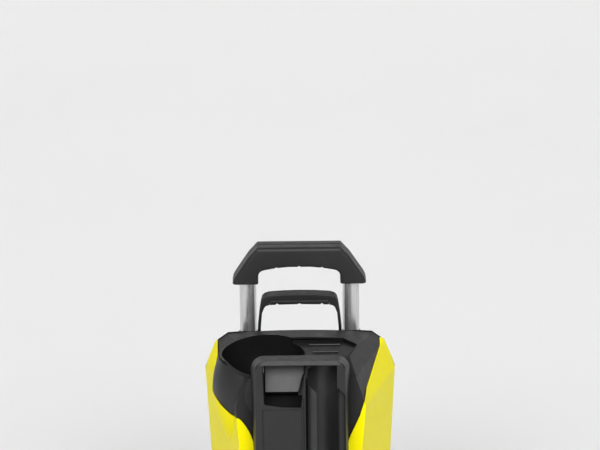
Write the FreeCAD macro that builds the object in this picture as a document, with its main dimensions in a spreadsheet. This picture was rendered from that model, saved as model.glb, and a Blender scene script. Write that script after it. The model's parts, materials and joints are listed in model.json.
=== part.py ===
import FreeCAD, Part
import math
import os
import re

import Sketcher

# An upright electric pressure washer on two wheels. X is across the machine, +Y is its back and +Z is up;
# the origin is on the floor, under the middle of the overall box. All lengths are millimetres.

V = FreeCAD.Vector
doc = FreeCAD.newDocument("PressureWasher")

# -------------------------------------------------------------------------------------------- driving sizes
SIZES = {
    # housing
    "body_half_width": 158.3, "shoulder_height": 388.0, "top_height": 437.8, "top_crown": 6.4,
    "overall_front": 205.5, "shell_wall": 3.0, "panel_gap": 0.5, "panel_step": 1.4, "split_depth": 116.0,
    "back_depth": 168.0, "waist_height": 118.0, "base_height": 12.0, "plan_taper": 0.3017,
    # bottle well, left of the middle
    "well_across": -60.0, "well_depth": 27.0, "well_radius": 68.0, "bulge_radius": 85.2, "well_floor": 332.0,
    # column on the front
    "column_half_base": 80.0, "column_half_foot": 74.6, "column_half_face": 74.2, "column_depth": 38.8,
    "column_length": 276.0, "column_foot": 186.0, "front_lean": 7.72, "front_at_foot": -79.6,
    # telescopic pull handle
    "tube_spacing": 171.0, "tube_radius": 13.9, "tube_wall": 1.5, "tube_back": 150.0, "tube_bottom": 20.0,
    "tube_top": 534.0, "grip_height": 580.0, "grip_drop": 63.5, "grip_depth": 42.0,
    # carrying handle
    "carry_half_top": 63.5, "carry_half_foot": 69.6, "carry_height": 502.5, "carry_back": 132.0,
    # wheels
    "wheel_radius": 82.0, "wheel_back": 123.5, "wheel_inside": 115.0,
    "axle_radius": 6.0, "arch_radius": 94.0, "hub_play": 0.05,
    # motor and pump, on one upright axis
    "motor_across": 12.0, "motor_back": 62.0, "motor_radius": 52.0, "motor_bottom": 170.0, "motor_top": 316.0,
    "shaft_radius": 6.0, "rotor_radius": 29.0, "piston_circle": 21.0, "piston_radius": 6.0,
    # water and power
    "inlet_radius": 13.2, "inlet_height": 74.0, "outlet_across": 46.0, "outlet_height": 105.0,
    "outlet_bore": 7.0, "knob_radius": 25.0, "knob_across": -44.0, "knob_height": 128.0,
}

sheet = doc.addObject("Spreadsheet::Sheet", "Dims")
for row, (alias, number) in enumerate(SIZES.items(), start=1):
    sheet.set(f"A{row}", alias)
    sheet.set(f"B{row}", str(number))
    sheet.setAlias(f"B{row}", alias)
doc.recompute()


def d(alias):
    """A driving size, read back from the sheet."""
    return float(sheet.get(alias))


def link(text):
    """The expression with every driving size spelt as a cell of the sheet."""
    return re.sub(r"[a-z]+(?:_[a-z]+)+", lambda m: "Dims." + m.group(0), str(text))


def number(text):
    """What an expression is worth now."""
    return float(sheet.evalExpression(link(text)))


# ----------------------------------------------------------------------------------------- document objects
ALONG = {
    "Z": FreeCAD.Rotation(), "X": FreeCAD.Rotation(V(0, 1, 0), 90), "Y": FreeCAD.Rotation(V(1, 0, 0), -90),
    "-X": FreeCAD.Rotation(V(0, 1, 0), -90), "-Y": FreeCAD.Rotation(V(1, 0, 0), 90),
    "-Z": FreeCAD.Rotation(V(1, 0, 0), 180),
}
PARTS = []


def keep(obj, label):
    """Marks a finished sub-part: its Label names its file."""
    obj.Label = label
    PARTS.append(obj)
    return obj


def place(obj, at, along="Z"):
    """Places an object at three expressions, with its own Z laid along an axis."""
    obj.Placement = FreeCAD.Placement(V(*[number(c) for c in at]), ALONG[along])
    for letter, text in zip("xyz", at):
        obj.setExpression("Placement.Base." + letter, link(text))
    return obj


def cylinder(radius, height, at=("0", "0", "0"), along="Z"):
    obj = doc.addObject("Part::Cylinder", "Cylinder")
    obj.setExpression("Radius", link(radius))
    obj.setExpression("Height", link(height))
    return place(obj, at, along)


def block(length, width, height, at):
    """A box by its size along X, Y and Z, from its lowest corner."""
    obj = doc.addObject("Part::Box", "Box")
    for prop, text in (("Length", length), ("Width", width), ("Height", height)):
        obj.setExpression(prop, link(text))
    return place(obj, at)


def fused(*shapes):
    obj = doc.addObject("Part::MultiFuse", "Fuse")
    obj.Shapes = list(shapes)
    return obj


def minus(base, *tools):
    obj = doc.addObject("Part::Cut", "Cut")
    obj.Base = base
    obj.Tool = tools[0] if len(tools) == 1 else fused(*tools)
    return obj


def group(*shapes):
    """Separate solids that share one node."""
    obj = doc.addObject("Part::Compound", "Group")
    obj.Links = list(shapes)
    return obj


def feature(shape, label):
    obj = doc.addObject("Part::Feature", "Shape")
    obj.Shape = shape
    return keep(obj, label)


def turned(label, outline, at=("0", "0", "0"), along="Z", kept=True):
    """A PartDesign body turned about its own Z from a closed outline of (radius, height) expressions."""
    body = doc.addObject("PartDesign::Body", "Turned")
    sketch = body.newObject("Sketcher::SketchObject", "Outline")
    plane = next(f for f in body.Origin.OriginFeatures if f.Role == "XZ_Plane")
    sketch.AttachmentSupport = [(plane, "")]
    sketch.MapMode = "FlatFace"
    spots = [(number(r), number(h)) for r, h in outline]
    count = len(spots)
    for i, (r, h) in enumerate(spots):
        after = spots[(i + 1) % count]
        sketch.addGeometry(Part.LineSegment(V(r, h, 0), V(after[0], after[1], 0)), False)
    for i in range(count):
        sketch.addConstraint(Sketcher.Constraint("Coincident", i, 2, (i + 1) % count, 1))
    for i, (texts, spot) in enumerate(zip(outline, spots)):
        for side, text, worth in zip(("DistanceX", "DistanceY"), texts, spot):
            index = sketch.addConstraint(Sketcher.Constraint(side, -1, 1, i, 1, worth))
            sketch.setExpression(f"Constraints[{index}]", link(text))
    turn = body.newObject("PartDesign::Revolution", "Turn")
    turn.Profile = sketch
    turn.ReferenceAxis = (sketch, ["V_Axis"])
    turn.Angle = 360
    place(body, at, along)
    return keep(body, label) if kept else body


# ---------------------------------------------------------------------------------- shapes from half-spaces
BIG = 1400.0


def unit(vector):
    return V(vector).normalize()


def beyond(point, normal):
    """A block that fills what lies past the plane through point, on the side that normal points to."""
    slab = Part.makeBox(BIG, BIG, BIG, V(-BIG / 2, -BIG / 2, 0))
    slab.Placement = FreeCAD.Placement(V(*point), FreeCAD.Rotation(V(0, 0, 1), V(*normal)))
    return slab


def bounded(planes, inset=0.0):
    """The convex solid behind a set of planes, each moved inwards by inset."""
    solid = Part.makeBox(600, 600, 600, V(-300, -300, -20))
    for point, normal in planes:
        way = unit(V(*normal))
        solid = solid.cut(beyond(V(*point) - way * inset, way))
    return solid


def mirrored(planes):
    """The planes and their mirror images across X = 0."""
    out = list(planes)
    for (x, y, z), (a, b, c) in planes:
        if abs(a) > 1e-9:
            out.append(((-x, y, z), (-a, b, c)))
    return out


def prism_x(points, low, high):
    """A (Y, Z) outline carried along X from low to high."""
    wire = Part.makePolygon([V(low, y, z) for y, z in points + points[:1]])
    return Part.Face(wire).extrude(V(high - low, 0, 0))


def prism_y(points, low, high):
    """An (X, Z) outline carried along Y from low to high."""
    wire = Part.makePolygon([V(x, low, z) for x, z in points + points[:1]])
    return Part.Face(wire).extrude(V(0, high - low, 0))


def prism_z(points, low, high):
    """An (X, Y) outline carried up from low to high."""
    wire = Part.makePolygon([V(x, y, low) for x, y in points + points[:1]])
    return Part.Face(wire).extrude(V(0, 0, high - low))


def rod(radius, start, end):
    """A plain cylinder between two points."""
    run = V(*end) - V(*start)
    return Part.makeCylinder(radius, run.Length, V(*start), run)


def rounded(shape, radius, wanted):
    """Rounds the edges that wanted(edge) picks; sharp stays sharp where the kernel can't."""
    edges = [e for e in shape.Edges if wanted(e)]
    return shape.makeFillet(radius, edges) if edges else shape


def runs_along(edge, axis, slack=0.05):
    """True for a straight edge that lies along an axis."""
    if len(edge.Vertexes) != 2 or edge.Curve.TypeId != "Part::GeomLine":
        return False
    way = edge.Vertexes[1].Point - edge.Vertexes[0].Point
    return abs(abs(unit(way) * V(*axis)) - 1) < slack


# --------------------------------------------------------------------------------------- the housing's form
def slope_planes():
    """Where the top rolls off: gently to the front, and more steeply behind the top plate."""
    return [((0, -6.7, d("top_height")), (0, -0.358, 0.934)),
            ((0, d("split_depth") + 2.0, d("top_height")), (0, 23.0, 21.0))]


def side_planes():
    """The housing's flat skins, each as a point on it and its outward normal."""
    half, shoulder, top = d("body_half_width"), d("shoulder_height"), d("top_height")
    split, lean = d("split_depth"), math.tan(math.radians(d("front_lean")))
    slope = d("plan_taper")
    planes = mirrored([
        ((120.0, split, top), (14.7, -14.7 * slope, 19.8)),             # chamfer beside the top plate
        ((half - 4.4, split, shoulder), (1.0, -slope, 0.39)),           # shoulder
        ((half - 4.8, split, shoulder), (1.0, -slope, 0.309)),          # the bend between shoulder and side
        ((half, split, shoulder), (143.0, -143.0 * slope, -7.4)),       # side, narrowing towards the floor
        ((120.0, split, top), (14.7, 9.5, 19.8)),                       # the same chamfer behind the split
        ((half - 4.4, split, shoulder), (1.0, 0.26, 0.39)),             # the same shoulder behind the split
        ((half - 4.8, 136.0, shoulder), (1.0, 0.0, 0.309)),             # the same bend behind the split
        ((half, 136.0, shoulder), (143.0, 0.0, -7.4)),                  # side behind the split
        ((half - 3.0, 138.0, shoulder), (1.0, 1.02, 0.0)),              # back corners
    ])
    planes += slope_planes()
    planes += [
        ((0, d("front_at_foot"), d("column_foot")), (0, -1.0, lean)),   # front, behind the column
        ((0, d("back_depth"), 0), (0, 1, 0)),
        ((0, d("back_depth"), 408.0), (0, 0.62, 0.78)),                 # upper back edge
    ]
    return planes


def crowned(solid, inset):
    """The solid under the slightly domed top."""
    rise = d("top_crown")
    radius = 116.0 ** 2 / (2 * rise)
    centre = d("top_height") + rise - radius
    dome = Part.makeCylinder(radius - inset, 700, V(0, -350, centre), V(0, 1, 0))
    return solid.common(dome)


def well_bulge(inset):
    """The round swelling over the bottle well: widest half-way down, and gone again above the waist."""
    across, deep = d("well_across"), d("well_depth")
    widest = d("bulge_radius") - inset
    rim = d("well_radius") + 3.2 - inset
    top = d("top_height") + 20.0
    outline = [V(0, 0, top), V(rim, 0, top), V(rim, 0, 438.0), V(widest, 0, 384.0),
               V(widest - 5.0, 0, 335.0), V(widest - 22.0, 0, 288.0), V(0, 0, 262.0)]
    curve = Part.BSplineCurve()
    curve.interpolate(outline[2:6])
    edges = [Part.LineSegment(outline[0], outline[1]).toShape(),
             Part.LineSegment(outline[1], outline[2]).toShape(),
             curve.toShape(), Part.LineSegment(outline[5], outline[6]).toShape(),
             Part.LineSegment(outline[6], outline[0]).toShape()]
    solid = Part.Face(Part.Wire(edges)).revolve(V(0, 0, 0), V(0, 0, 1), 360)
    solid.translate(V(across, deep, 0))
    return solid


def housing(inset=0.0):
    """The whole upper housing's form, its skin moved inwards by inset."""
    solid = bounded(side_planes(), inset)
    bulge = well_bulge(inset)
    for point, normal in slope_planes():
        way = unit(V(*normal))
        bulge = bulge.cut(beyond(V(*point) - way * inset, way))
    return crowned(solid.fuse(bulge), inset).removeSplitter()


def boundary_right(lift):
    """What lies under the line between the side shell and the top cover, on the right."""
    side = prism_x([(-400, 224.0 + lift), (-46, 388.5 + lift), (60, 413.5 + lift), (116, 426.5 + lift),
                    (400, 426.5 + lift), (400, -50), (-400, -50)], 0, 300)
    face = prism_y([(73, -50), (73, 290 + lift), (76.6, 313 + lift), (80.8, 325.8 + lift),
                    (88.1, 340.8 + lift),
                    (96.3, 358.2 + lift), (99.0, 367.2 + lift), (106.3, 388.5 + lift), (113.5, 412 + lift),
                    (117, 460), (300, 460), (300, -50)], -400, 400)
    return side.common(face)


def seam_curve(spots, lift):
    """A smooth run through points, raised by lift."""
    curve = Part.BSplineCurve()
    curve.interpolate([V(*spot) + V(0, 0, lift) for spot in spots])
    return curve.toShape()


def boundary_left(lift):
    """The same on the left: along the bulge of the bottle well, then down to the column in front of it."""
    back = [(-300, 116, 425), (-300, 104, 424), (-300, 95, 420), (-300, 89, 407), (-300, 83, 396),
            (-300, 74, 386.5), (-300, 58, 380.5), (-300, 35, 377), (-300, 11.7, 373.8), (-300, -3, 370.8),
            (-300, -12.3, 367.4), (-300, -15, 366.3)]
    ends = [V(-300, -15, 366.3 + lift), V(-300, -15, 470), V(-300, -400, 470), V(-300, -400, -50),
            V(-300, 400, -50), V(-300, 400, 425 + lift), V(-300, 116, 425 + lift)]
    lines = [Part.LineSegment(a, b).toShape() for a, b in zip(ends, ends[1:])]
    side = Part.Face(Part.Wire([seam_curve(back, lift)] + lines)).extrude(V(300, 0, 0))
    front = [(-73.5, -400, 292), (-75.6, -400, 305), (-77.7, -400, 315.5), (-81.6, -400, 328.1),
             (-86.5, -400, 338), (-93.5, -400, 347.9), (-98.9, -400, 353.7), (-102.5, -400, 355.4),
             (-106.8, -400, 353.5), (-110.9, -400, 353.5), (-117, -400, 356.5), (-123.2, -400, 360.3),
             (-133.9, -400, 367.4), (-136.3, -400, 369.2)]
    ends = [V(-136.3, -400, 369.2 + lift), V(-136.3, -400, 470), V(-300, -400, 470), V(-300, -400, -50),
            V(-73.5, -400, -50), V(-73.5, -400, 292 + lift)]
    lines = [Part.LineSegment(a, b).toShape() for a, b in zip(ends, ends[1:])]
    face = Part.Face(Part.Wire([seam_curve(front, lift)] + lines)).extrude(V(0, 800, 0))
    return side.common(face)


def wheel_room(radius, inner):
    """The two round openings over the wheels, from inner outwards."""
    rooms = [rod(radius, (side * inner, d("wheel_back"), d("wheel_radius")),
                 (side * 300, d("wheel_back"), d("wheel_radius"))) for side in (-1, 1)]
    return rooms[0].fuse(rooms[1])


def in_front(shape):
    return shape.cut(beyond((0, d("split_depth") - 0.25, 0), (0, 1, 0)))


def above(shape, height):
    return shape.cut(beyond((0, 0, height), (0, 0, -1)))


def make_side_shells():
    """The two big side covers, from the front edge back to the split line and over the wheels."""
    skin = above(in_front(housing().cut(housing(d("shell_wall")))), d("waist_height") + 0.5)
    skin = skin.cut(wheel_room(d("arch_radius") + 0.5, 111.2))
    feature(skin.common(boundary_left(0)), "left_side_shell")
    feature(skin.common(boundary_right(0)), "right_side_shell")


TRAY_OUTLINE = [(-14, 79), (72, 79), (94, 55), (75, -8), (-14, -8)]


def make_top_cover():
    """The cap: well rim, nozzle tray, the bulge over the well and the slanted shoulder on the right."""
    step, wall, gap = d("panel_step"), d("shell_wall"), d("panel_gap")
    outer = in_front(housing(step))
    cap = outer.cut(housing(step + wall)).cut(boundary_left(gap)).cut(boundary_right(gap))
    cap = above(cap, 255.0)
    cap = cap.cut(Part.makeBox(156, 110, 180, V(-78, -150, 243)))
    across, deep, radius = d("well_across"), d("well_depth"), d("well_radius")
    skirt = Part.makeCylinder(radius + 2.4, 40, V(across, deep, 413)).common(outer)
    floor, thick = d("top_height") - 4.3, 2.5
    pan = prism_z(TRAY_OUTLINE, floor - thick, floor + 6).common(outer)
    wider = prism_z([(-16, 82), (73.5, 82), (97.5, 56), (78, -11), (-16, -11)], floor - thick, floor + 4)
    cap = cap.fuse(skirt).fuse(wider.common(outer)).fuse(pan)
    cap = cap.cut(Part.makeCylinder(radius, 90, V(across, deep, 400)))
    cap = cap.cut(prism_z(TRAY_OUTLINE, floor, floor + 30))
    for back, left, right in ((64.5, 15.0, 66.0), (33.0, 21.0, 63.0)):
        rib = Part.makeBox(right - left, 3.2, 2.2, V(left, back - 1.6, floor - 0.2))
        cap = cap.fuse(rounded(rib, 0.9, lambda e: runs_along(e, (1, 0, 0)) and e.BoundBox.ZMin > floor + 1))
    holder = Part.makeCylinder(HOLDER_OUTER + 0.5, 300, V(HOLDER_ACROSS, HOLDER_DEPTH, 0))
    cap = cap.cut(leaning(holder)).cut(leaning(column_form(-0.15, -0.2, 0)))
    feature(cap.removeSplitter(), "top_cover")


SCREW_SPOTS = [(x, z) for x in (-106, 106) for z in (200, 290, 372)]


def make_rear_housing():
    """The back shell behind the split line, with the handles' holes in its slope."""
    skin = housing().cut(housing(d("shell_wall")))
    behind = skin.cut(beyond((0, d("split_depth") + 0.25, 0), (0, -1, 0)))
    back = above(behind, d("waist_height") + 0.5).cut(wheel_room(d("arch_radius") + 0.5, 111.2))
    for side in (-1, 1):
        across = side * d("tube_spacing") / 2
        back = back.cut(Part.makeCylinder(d("tube_radius") + 2.5, 100, V(across, d("tube_back"), 380)))
        leg = Part.makeBox(7.0, 26.0, 100, V(-3.5, d("carry_back") - 13.0, 390))
        leg.translate(V(side * 67.1, 0, 0))
        back = back.cut(leg)
    vents = [Part.makeBox(64, 12, 3.2, V(-32, 160, 236 + 9 * i)) for i in range(6)]
    for slot in vents:
        back = back.cut(slot)
    back = back.cut(rod(14.0, (0, 150, 150), (0, 180, 150)))
    back = back.cut(rod(6.05, (0, 150, 330), (0, 180, 330)))
    for x, z in SCREW_SPOTS:
        back = back.cut(rod(4.0, (x, d("back_depth") - 1.0, z), (x, 180, z)))
    feature(back, "rear_housing")


# ----------------------------------------------------------------------------------------------- the column
LEAN = FreeCAD.Placement(V(0, d("front_at_foot"), d("column_foot")),
                         FreeCAD.Rotation(V(1, 0, 0), -d("front_lean")))


def leaning(shape):
    """Sets a shape made upright at the column's foot on to the leaning front."""
    shape.Placement = LEAN.multiply(shape.Placement)
    return shape


def arch_wire(half, top, radius, depth, foot=0.0, half_foot=None):
    """A doorway outline: sides straight or narrowing to the foot, rounded top corners, at one depth."""
    bend = radius * math.sqrt(0.5)
    low = half if half_foot is None else half_foot
    left_mid = V(-half + radius - bend, depth, top - radius + bend)
    right_mid = V(half - radius + bend, depth, top - radius + bend)
    points = [V(-low, depth, foot), V(-half, depth, top - radius), V(-half + radius, depth, top),
              V(half - radius, depth, top), V(half, depth, top - radius), V(low, depth, foot)]
    return Part.Wire([
        Part.LineSegment(points[0], points[1]).toShape(), Part.Arc(points[1], left_mid, points[2]).toShape(),
        Part.LineSegment(points[2], points[3]).toShape(), Part.Arc(points[3], right_mid, points[4]).toShape(),
        Part.LineSegment(points[4], points[5]).toShape(), Part.LineSegment(points[5], points[0]).toShape()])


def column_form(inset, back, foot):
    """The column's solid form: drafted sides, then a small bevel round the flat ring of its face."""
    base, base_foot, face = d("column_half_base"), d("column_half_foot"), d("column_half_face")
    length, depth = d("column_length"), d("column_depth")
    one = arch_wire(base - inset, length - inset, 22 - inset, back, foot, base_foot - inset)
    two = arch_wire(face - inset, length - 0.5 - inset, 18 - inset, -(depth - 3.6) + inset * 0.4, foot)
    three = arch_wire(face - 1.6 - inset, length - 6.5 - inset, 13 - inset, -depth + inset, foot)
    body = Part.makeLoft([one, two], True, True)
    return body.fuse(Part.makeLoft([two, three], True, True))


HOLDER_ACROSS, HOLDER_DEPTH, HOLDER_INNER, HOLDER_OUTER = 36.7, -22.5, 25.0, 27.4
POCKET_LEFT, POCKET_RIGHT, POCKET_LIP, POCKET_TOP = -61.0, 5.5, 201.0, 268.5


def make_column():
    depth = d("column_depth")
    outer = column_form(0.0, -0.4, -12.0)
    hollow = column_form(3.0, 0.6, 3.0)
    shell = outer.cut(hollow)
    # the back is closed above the housing's front edge
    shell = shell.fuse(outer.common(Part.makeBox(200, 3.0, 60, V(-100, -3.4, 226))))
    # walls inside, behind the slots on either side of the lance holder
    behind = Part.makeBox(14.0, 2.6, 262,
                          V(6.9, -30.6, 6)).fuse(Part.makeBox(12.5, 2.8, 232, V(59.5, -33.8, 6)))
    shell = shell.fuse(behind.common(outer))
    # the flat panel under the pocket is set back a little inside the ring
    shell = shell.cut(Part.makeBox(62.5, 1.6, 196, V(-61.5, -depth - 0.2, 0)))
    mouth = prism_y([(POCKET_LEFT, POCKET_TOP), (8.4, POCKET_TOP), (8.4, 254), (6.1, 251), (4.2, 224),
                     (POCKET_RIGHT - 4.5, POCKET_LIP - 2.5), (-30, POCKET_LIP - 1.5), (POCKET_LEFT + 2.0,
                                                                                       POCKET_LIP + 3)],
                    -60, -20)
    mouth = rounded(mouth, 3.0, lambda e: runs_along(e, (0, 1, 0)) and e.CenterOfMass.x < 2)
    shell = shell.cut(mouth)
    # the groove between the panel and the lance holder, and the deep slot next to it
    shell = shell.cut(Part.makeBox(5.2, 2.4, 214, V(0.8, -depth - 0.2, 0)))
    shell = shell.cut(Part.makeBox(26, 29.4, POCKET_TOP - 6, V(8.2, -60, 6)))
    # the ring's face steps back on the right, under a short diagonal
    rim = prism_y([(58, 8), (58, 230.5), (61.0, 230.5), (72.2, 219.5), (72.6, 8)], -60, -depth + 5.0)
    shell = shell.cut(rim)
    room = Part.makeCylinder(HOLDER_OUTER + 0.35, 262, V(HOLDER_ACROSS, HOLDER_DEPTH, 6))
    shell = shell.cut(room)
    feature(above(leaning(shell), d("column_foot")), "front_column")


def make_gun_pocket():
    """The liner that takes the trigger gun's nose: a sloping pad over a deep slot."""
    front, top = -d("column_depth") + 3.6, 269.4
    outer = prism_x([(front + 2.4, top), (front, 257), (front, 104), (-6, 104), (-6, top)],
                    POCKET_LEFT + 0.9, 6.6)
    inner = prism_x([(front - 9, top + 2), (front - 9, 196), (front + 2.2, 196), (front + 2.2, 107),
                     (-9, 107),
                     (-9, top + 2)], POCKET_LEFT + 2.9, 4.4)
    pad = prism_x([(-24.5, 221), (-14.0, top), (-8, top), (-8, 211)], -51.0, 4.5)
    pad = rounded(pad, 1.2, lambda e: runs_along(e, (1, 0, 0), 0.01) and e.BoundBox.YMin < -20)
    pad = pad.cut(prism_y([(-3.6, 200), (-3.6, 222), (2.8, 245), (4.5, 249), (6, 249), (6, 200)], -40, -9.5))
    liner = outer.cut(inner).fuse(pad)
    # the wall on the lance's side ends behind the pad's face near its top
    liner = liner.cut(prism_x([(-60, 300), (-60, 250), (-20.5, 250), (-12.5, 300)], 4.3, 8))
    feature(leaning(liner.removeSplitter()), "gun_pocket_liner")


def make_lance_holder():
    """A tall C-shaped tube: wide open above, with a lip that closes over its left side lower down."""
    spot = V(HOLDER_ACROSS, HOLDER_DEPTH, 8)
    tube = Part.makeCylinder(HOLDER_OUTER, 259, spot)
    tube = tube.cut(Part.makeCylinder(HOLDER_INNER, 300, spot + V(0, 0, 1.8)))
    tube = tube.cut(Part.makeCylinder(5.0, 20, spot - V(0, 0, 5)))
    window = [(26.2, -5), (26.2, 224.5), (23.5, 228.0), (20.2, 230.1), (16.9, 232.5), (12.8, 237.5),
              (10.7, 244.1),
              (9.7, 251.0), (10.3, 257.3), (12.0, 261.5), (15.3, 265.6), (20.2, 268.5), (66.0, 300),
              (66.0, 223), (60.2, 231), (60.2, -5)]
    slot = prism_y(window, -80, HOLDER_DEPTH + 3)
    foot = Part.makeBox(80, 60, 30, V(0, -70, 8))
    tube = tube.cut(slot.cut(foot))
    feature(leaning(tube), "lance_holder")


make_side_shells()
make_top_cover()
make_rear_housing()
make_column()
make_gun_pocket()
make_lance_holder()

# ------------------------------------------------------------------------------------------------- the base
def base_planes():
    planes = mirrored([
        ((128.0, 0, 62.0), (1.0, 0, 0.0)),
        ((128.0, 0, 62.0), (127.0, 0, 42.0)),
        ((96.0, -d("overall_front"), 0), (55.0, -33.0, 0)),
    ])
    planes += [
        ((0, -d("overall_front"), 0), (0, -1, 0)),
        ((0, -d("overall_front"), 62.0), (0, -125.0, 87.0)),
        ((0, d("back_depth"), 0), (0, 1, 0)),
        ((0, 0, d("base_height")), (0, 0, -1)),
        ((0, 0, d("column_foot") - 0.5), (0, 0, 1)),
    ]
    return planes


def base_form(inset):
    """The base's solid form: a broad toe in front, narrower between the wheels."""
    form = bounded(base_planes(), inset)
    for side in (-1, 1):
        low = 111.0 - inset if side > 0 else -300
        form = form.cut(Part.makeBox(189.0 + inset, 400, 400, V(low, 26.0 - inset, -50)))
    # the side shells and the back housing stand on this step, behind the leaning front
    lean = math.radians(d("front_lean"))
    way = V(0, -math.cos(lean), math.sin(lean))
    step = beyond((0, 0, d("waist_height") - inset), (0, 0, 1))
    step = step.cut(beyond(tuple(V(0, d("front_at_foot"), d("column_foot")) + way * (0.5 - inset)), way))
    return form.cut(step)


def make_base():
    """The chassis tray: floor, toe, walls between the wheels, fenders over them and the bosses inside."""
    wall = d("shell_wall")
    outer, inner = base_form(0.0), base_form(wall)
    tray = outer.cut(inner)
    opening = Part.makeBox(206, 234.9, 30, V(-103, -70, d("waist_height") - 8))
    tray = tray.cut(opening)
    # inner wheel walls and fenders, inside the housing's skin
    skin = housing(0.0)
    for side in (-1, 1):
        hub = (side * 108.0, d("wheel_back"), d("wheel_radius"))
        disc = rod(d("arch_radius"), hub, (side * 111.0, d("wheel_back"), d("wheel_radius")))
        disc = above(disc, d("waist_height") - 3)
        disc = disc.cut(beyond((0, d("back_depth") - wall - 0.5, 0), (0, 1, 0)))
        fender = rod(d("arch_radius"), hub, (side * 160, d("wheel_back"), d("wheel_radius")))
        fender = fender.cut(rod(d("arch_radius") - 4.0, (side * 111.0, d("wheel_back"), d("wheel_radius")),
                                (side * 170, d("wheel_back"), d("wheel_radius"))))
        fender = above(fender, d("waist_height")).common(skin)
        fender = fender.cut(beyond((0, d("back_depth") - wall - 0.5, 0), (0, 1, 0)))
        boss = rod(13.0, (side * 99.5, d("wheel_back"), d("wheel_radius")),
                   (side * 112.5, d("wheel_back"), d("wheel_radius")))
        tray = tray.fuse(disc).fuse(fender).fuse(boss)
        tray = tray.cut(rod(d("axle_radius") + 0.02, (side * 101.5, d("wheel_back"), d("wheel_radius")),
                            (side * 140, d("wheel_back"), d("wheel_radius"))))
    # front feet sockets, the outlet, the switch and the drain
    knob_face = -d("overall_front") + (d("knob_height") - 62.0) * 87.0 / 125.0
    knob_way = V(0, -125.0, 87.0).normalize()
    centre = V(d("knob_across"), knob_face, d("knob_height"))
    tray = tray.cut(rod(15.0, tuple(centre - knob_way * 12), tuple(centre + knob_way * 12)))
    tray = tray.cut(rod(17.2, (d("outlet_across"), -190, d("outlet_height")),
                        (d("outlet_across"), -120, d("outlet_height"))))
    inlet = d("inlet_height")
    tray = tray.cut(rod(d("inlet_radius") + 3.3, (20.0, 155, inlet), (20.0, 180, inlet)))
    feature(tray, "base_tray")


make_base()

# ------------------------------------------------------------------------------------------ the bottle well
def make_bottle_well():
    """The open cup the detergent bottle is pushed into, with a sprung valve in its floor."""
    outer, inner = "well_radius + 2.1", "well_radius - 0.1"
    at = ("well_across", "well_depth", "well_floor")
    turned("bottle_well",
           [("9", "-3"), (outer, "-3"), (outer, "80.6"), (inner, "80.6"), (inner, "0"), ("9", "0")], at)
    turned("valve_seat", [("0", "-20"), ("8.9", "-20"), ("8.9", "0.05"), ("14", "0.05"), ("14", "2.5"),
                          ("9", "4"), ("4.05", "4"), ("4.05", "-19"), ("0", "-19")], at)
    turned("detergent_valve", [("0", "-14"), ("4", "-14"), ("4", "9.2"), ("7.5", "9.2"), ("7.5", "12"),
                               ("3", "13.2"), ("0", "13.2")], at)


# ---------------------------------------------------------------------------------------- telescopic handle
def make_grip():
    """The pull handle's grip, moulded as a front half and a back half that close over the tubes."""
    top, drop = d("grip_height"), d("grip_drop")
    low = top - drop
    right = [(67.8, low), (67.8, top - 49), (66.0, top - 44), (62.0, top - 40.5), (56.0, top - 38.7),
             (38.0, top - 35.8), (19.0, top - 33.8)]
    outside = [(69.0, top), (83.0, top - 15.6), (95.0, top - 33.5), (106.0, top - 50.5), (109.3, top - 57.0),
               (110.8, low)]
    outline = outside + right + [(-x, z) for x, z in right[::-1]] + [(-x, z) for x, z in outside[::-1]]
    depth, middle = d("grip_depth"), d("tube_back")
    solid = prism_y(outline, middle - depth / 2, middle + depth / 2)
    solid = rounded(solid, 7.0, lambda e: e.BoundBox.YLength < 1e-3 and e.BoundBox.ZMax > top - 57.5 and
                    (e.CenterOfMass.z > top - 30 or abs(e.CenterOfMass.x) > 70))
    solid = rounded(solid, 4.0, lambda e: e.BoundBox.YLength < 1e-3 and e.BoundBox.ZMax > low + 1 and
                    e.CenterOfMass.z < top - 30 and abs(e.CenterOfMass.x) < 68)
    for spot in (-38, 0, 38):
        notch = top - 31 - 0.053 * abs(spot)
        solid = solid.cut(prism_y([(spot - 2.4, notch - 7), (spot - 0.7, notch), (spot + 0.7, notch),
                                   (spot + 2.4, notch - 7)], middle - depth, middle + depth))
        solid = solid.cut(Part.makeBox(0.9, 3.0, 11, V(spot - 0.45, middle - depth / 2 - 1.6, notch - 3)))
    for side in (-1, 1):
        bore = Part.makeCylinder(d("tube_radius") + 0.05, d("tube_top") - low + 1,
                                 V(side * d("tube_spacing") / 2, middle, low - 1))
        solid = solid.cut(bore)
    front = solid.cut(beyond((0, middle - 0.15, 0), (0, 1, 0)))
    back = solid.cut(beyond((0, middle + 0.15, 0), (0, -1, 0)))
    screws = [rod(3.6, (x, middle + depth / 2 + 1, top - 18), (x, middle + depth / 2 - 3, top - 18))
              for x in (-50, 50)]
    for screw in screws:
        back = back.cut(screw)
    feature(front, "pull_grip_front")
    feature(back, "pull_grip_back")
    heads = [fastener("3.4", (str(x), "tube_back + grip_depth / 2 - 0.6", "grip_height - 18"), "Y")
             for x in (-50, 50)]
    keep(group(*heads), "grip_screws")


def fastener(radius, at, along):
    """A pan-head screw seen from outside: the head, with its cross recess, over a short shank."""
    head = cylinder(radius, "2", tuple(at), along)
    head.Placement = FreeCAD.Placement(head.Placement.Base - head.Placement.Rotation.multVec(V(0, 0, 2)),
                                       head.Placement.Rotation)
    for letter in "xyz":
        head.setExpression("Placement.Base." + letter, None)
    spin = head.Placement.Rotation
    tip = head.Placement.Base + spin.multVec(V(0, 0, 2))
    cuts = []
    for length, width in ((1.1, 0.28), (0.28, 1.1)):
        bar = doc.addObject("Part::Box", "Recess")
        bar.Length = 4 * length
        bar.Width = 4 * width
        bar.Height = 2
        corner = V(-bar.Length.Value / 2, -bar.Width.Value / 2, -1)
        bar.Placement = FreeCAD.Placement(tip + spin.multVec(corner), spin)
        cuts.append(bar)
    return minus(head, *cuts)


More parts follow.
